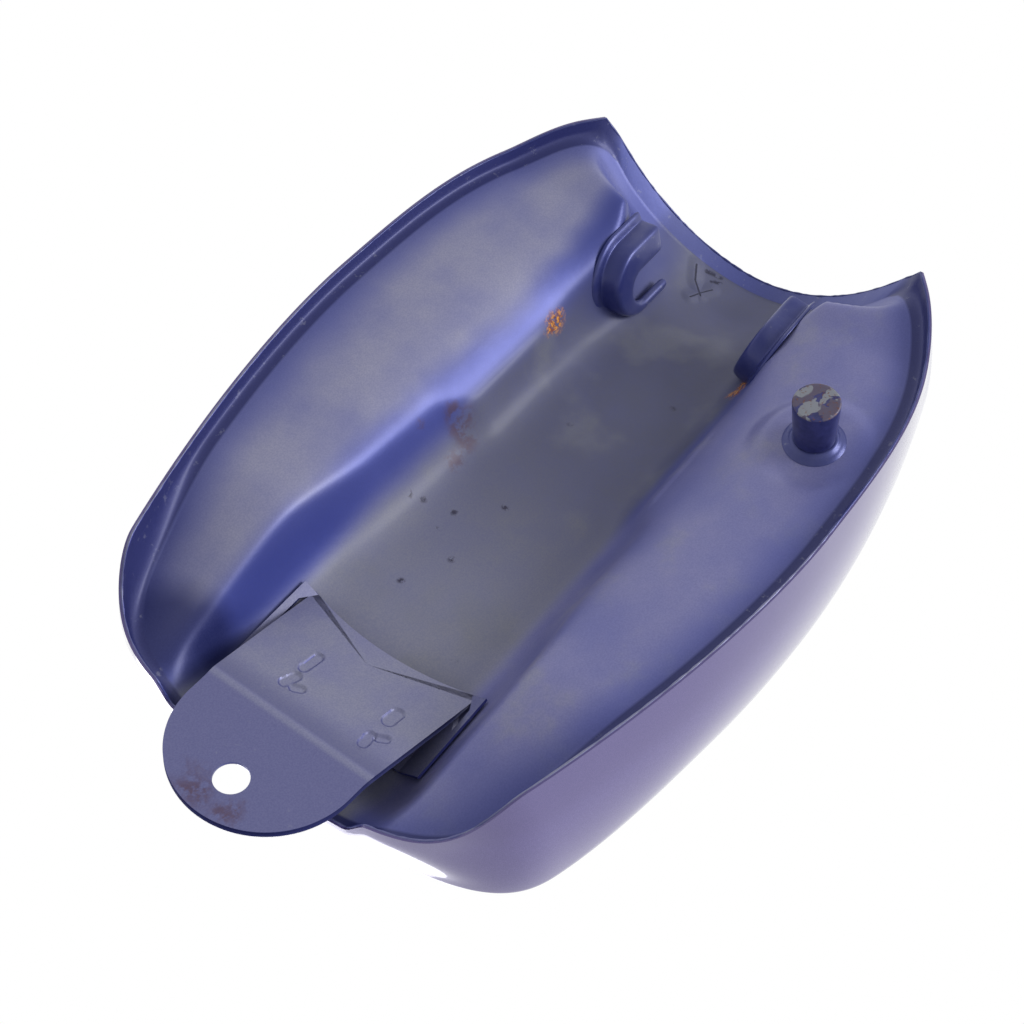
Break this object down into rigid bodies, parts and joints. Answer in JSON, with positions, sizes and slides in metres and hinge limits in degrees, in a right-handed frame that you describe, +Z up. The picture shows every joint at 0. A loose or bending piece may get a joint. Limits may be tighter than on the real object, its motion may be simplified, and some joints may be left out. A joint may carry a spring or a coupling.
{
  "type": "motorcycle fuel tank",
  "caption": "Pressed steel saddle tank: outer shell welded to a tunnelled underside, front cushion cups, rear mounting tongue, capped fuel outlet, hinged locking filler cap.",
  "frame": {"origin": "middle of the bolt hole in the rear tongue, on the tank's middle plane", "axes": "+X forward along the tank, +Y to the rider's left (the side with the fuel outlet), +Z up as fitted to the motorcycle"},
  "size_m": [0.5352, 0.346, 0.2106],
  "materials": {
    "shell_paint": "gloss metallic",
    "pan_paint": "satin, dry overspray",
    "bracket_paint": "satin",
    "outlet_cap_paint": "satin, worn",
    "tube_steel": "plain",
    "plate_steel": "zinc plated",
    "screw_steel": "plain",
    "lock_steel": "plain",
    "seal_rubber": "matte",
    "cap_alloy": "satin",
    "lid_chrome": "polished"
  },
  "bodies": {
    "tank": {"outer_shell": "shell_paint", "underside_pan": "pan_paint", "front_cup_left": "bracket_paint", "front_cup_right": "bracket_paint", "rear_tongue": "bracket_paint", "roof_doubler": "bracket_paint", "outlet_collar": "bracket_paint", "outlet_tube": "tube_steel", "filler_neck": "tube_steel", "cap_gasket": "seal_rubber", "cap_base": "cap_alloy", "cap_screws": "screw_steel", "hinge_pin": "screw_steel"},
    "outlet_seal": {"outlet_seal": "seal_rubber"},
    "outlet_cap": {"outlet_cap": "outlet_cap_paint"},
    "lid": {"cap_lid": "lid_chrome", "lid_seal": "seal_rubber", "seal_plate": "plate_steel", "seal_plate_screws": "screw_steel", "cover_rivet": "screw_steel"},
    "lock": {"lock_barrel": "lock_steel"},
    "latch": {"latch_tongue": "plate_steel"},
    "keyhole_cover": {"keyhole_cover": "lid_chrome"}
  },
  "joints": [
    {"name": "outlet_cap_draw", "type": "slide", "parent": "tank", "child": "outlet_seal", "axis": [-0.099, -0.0819, -0.9917], "range_m": [0, 0.006]},
    {"name": "outlet_cap_turn", "type": "hinge", "parent": "outlet_seal", "child": "outlet_cap", "pos_m": [0.34709, 0.1225, -0.01526], "axis": [-0.099, -0.0819, -0.9917], "range_deg": [0, 1440]},
    {"name": "lid_hinge", "type": "hinge", "parent": "tank", "child": "lid", "pos_m": [0.35509, 0, 0.15614], "axis": [0, 1, 0], "range_deg": [0, 95]},
    {"name": "lock_turn", "type": "hinge", "parent": "lid", "child": "lock", "pos_m": [0.30359, 0, 0.15274], "axis": [0, 0, 1], "range_deg": [0, 90]},
    {"name": "latch_slide", "type": "slide", "parent": "lid", "child": "latch", "axis": [-1, 0, 0], "range_m": [0, 0.00424]},
    {"name": "keyhole_cover_swing", "type": "hinge", "parent": "lid", "child": "keyhole_cover", "pos_m": [0.31659, 0, 0.15464], "axis": [0, 0, 1], "range_deg": [0, 100]}
  ],
  "couplings": [
    {"joint": "outlet_cap_turn", "follows": "outlet_cap_draw", "rad_per_m": 4188.8},
    {"joint": "lock_turn", "follows": "latch_slide", "rad_per_m": 370.23}
  ]
}
